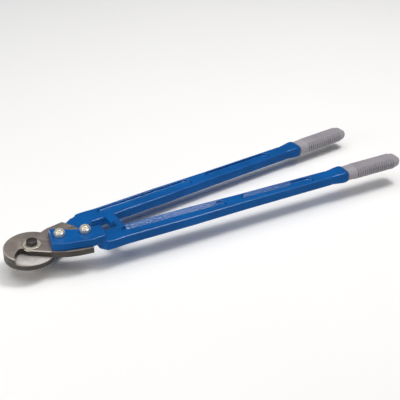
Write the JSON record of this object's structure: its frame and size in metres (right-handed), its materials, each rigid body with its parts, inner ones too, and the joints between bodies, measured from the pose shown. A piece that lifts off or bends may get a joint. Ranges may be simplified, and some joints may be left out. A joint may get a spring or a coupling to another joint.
{
  "type": "bolt cutters",
  "caption": "Hand cutter with hooked shearing blades crossing on a pivot bolt, each bolted to a long pocketed forged lever with a ribbed hand grip.",
  "frame": {"origin": "centre of the closed tool's plan, on the plane through the lowest bolt ends", "axes": "+X from the blades to the grips, +Z square to the flat of the blades, +Y towards the rear lever"},
  "size_m": [0.6114, 0.1592, 0.0596],
  "materials": {
    "blade_steel": "forged and ground tool steel, oiled",
    "blue_paint": "gloss enamel over a forged surface",
    "grey_grip": "moulded, satin",
    "black_steel": "black oxide",
    "bright_zinc": "bright zinc plate",
    "nylon": "moulded nylon"
  },
  "bodies": {
    "front_lever": {"upper_blade": "blade_steel", "front_handle": "blue_paint", "front_grip": "grey_grip", "pivot_bolt": "black_steel", "pivot_top_washer": "bright_zinc", "pivot_bottom_washer": "bright_zinc", "pivot_lock_nut": "bright_zinc", "pivot_nut_insert": "nylon", "front_inner_stud": "bright_zinc", "front_inner_lock_nut": "bright_zinc", "front_inner_nut_insert": "nylon", "front_outer_stud": "bright_zinc", "front_outer_lock_nut": "bright_zinc", "front_outer_nut_insert": "nylon"},
    "rear_lever": {"lower_blade": "blade_steel", "rear_handle": "blue_paint", "rear_grip": "grey_grip", "rear_inner_stud": "bright_zinc", "rear_inner_lock_nut": "bright_zinc", "rear_inner_nut_insert": "nylon", "rear_outer_stud": "bright_zinc", "rear_outer_lock_nut": "bright_zinc", "rear_outer_nut_insert": "nylon"}
  },
  "joints": [
    {"name": "pivot", "type": "hinge", "parent": "front_lever", "child": "rear_lever", "pos_m": [-0.267, 0, 0.0298], "axis": [0, 0, 1], "range_deg": [0, 90]}
  ]
}
